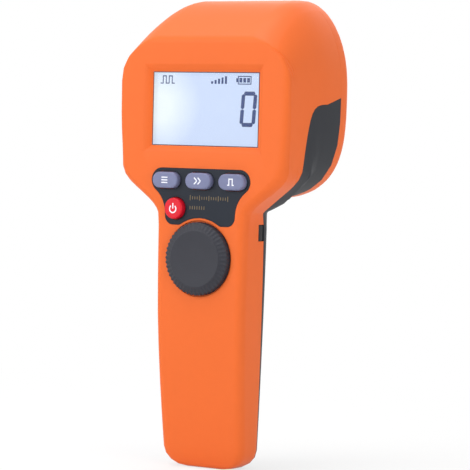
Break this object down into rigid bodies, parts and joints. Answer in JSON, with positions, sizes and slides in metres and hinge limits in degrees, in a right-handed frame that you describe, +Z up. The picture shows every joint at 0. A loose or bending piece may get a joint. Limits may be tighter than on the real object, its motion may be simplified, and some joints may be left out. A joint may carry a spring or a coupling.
{
  "type": "stroboscopic tachometer",
  "caption": "Hand-held LED stroboscope with a hooded head, a display, keys, a turning setting dial and a lamp at the rear, on a straight grip with a tripod socket.",
  "frame": {"origin": "centre of the tripod socket's mouth in the foot of the handle", "axes": "+X to the right of someone facing the display, +Y along the lamp's beam, +Z up the handle; the display looks along -Y"},
  "size_m": [0.098, 0.0569, 0.222],
  "materials": {
    "housing_orange": "fine spark texture",
    "housing_dark": "soft matte",
    "lens_clear": "clear moulded",
    "seal_rubber": "matt",
    "mirror_film": "metallised",
    "white_board": "white solder mask",
    "emitter": "clear dome over phosphor",
    "sink_metal": "plain",
    "screw_steel": "zinc plated",
    "window_clear": "clear moulded",
    "display_cell": "lit from behind",
    "light_plate": "white",
    "sheet_steel": "plain sheet",
    "board_green": "solder mask",
    "chip_black": "matt",
    "overlay_dark": "printed film",
    "key_grey": "silicone",
    "key_red": "silicone",
    "dial_dark": "satin",
    "pack_wrap": "shrink wrap",
    "bush_brass": "turned"
  },
  "bodies": {
    "case": {"front_shell": "housing_orange", "rear_shell": "housing_dark", "lamp_bezel": "housing_orange", "lens": "lens_clear", "lens_gasket": "seal_rubber", "reflector": "mirror_film", "led_board": "white_board", "led_emitters": "emitter", "heat_sink": "sink_metal", "lamp_screws": "screw_steel", "bezel_screws": "screw_steel", "lcd_window": "window_clear", "lcd_glass": "display_cell", "lcd_backlight": "light_plate", "lcd_frame": "sheet_steel", "main_board": "board_green", "control_chip": "chip_black", "board_screws": "screw_steel", "keypad_overlay": "overlay_dark", "key_switches": "sheet_steel", "encoder_body": "chip_black", "driver_board": "board_green", "driver_parts": "chip_black", "board_spacers": "sheet_steel", "charge_board": "board_green", "usb_socket": "sheet_steel", "battery_pack": "pack_wrap", "battery_tray": "housing_dark", "battery_tabs": "sheet_steel", "housing_screws": "screw_steel", "tripod_insert": "bush_brass"},
    "mode_button": {"mode_key": "key_grey", "mode_plunger": "chip_black"},
    "range_button": {"range_key": "key_grey", "range_plunger": "chip_black"},
    "pulse_button": {"pulse_key": "key_grey", "pulse_plunger": "chip_black"},
    "power_button": {"power_key": "key_red", "power_plunger": "chip_black"},
    "setting_dial": {"dial": "dial_dark", "encoder_shaft": "screw_steel"},
    "port_plug": {"port_cover": "seal_rubber"}
  },
  "joints": [
    {"name": "mode_press", "type": "slide", "parent": "case", "child": "mode_button", "axis": [0, 1, 0], "range_m": [0, 0.0008], "stiffness_N_per_m": 400},
    {"name": "range_press", "type": "slide", "parent": "case", "child": "range_button", "axis": [0, 1, 0], "range_m": [0, 0.0008], "stiffness_N_per_m": 400},
    {"name": "pulse_press", "type": "slide", "parent": "case", "child": "pulse_button", "axis": [0, 1, 0], "range_m": [0, 0.0008], "stiffness_N_per_m": 400},
    {"name": "power_press", "type": "slide", "parent": "case", "child": "power_button", "axis": [0, 1, 0], "range_m": [0, 0.0008], "stiffness_N_per_m": 400},
    {"name": "dial_turn", "type": "hinge", "parent": "case", "child": "setting_dial", "pos_m": [0, -0.01365, 0.099], "axis": [0, -1, 0], "continuous": true},
    {"name": "cover_pull", "type": "slide", "parent": "case", "child": "port_plug", "axis": [1, 0, 0], "range_m": [0, 0.006]}
  ]
}
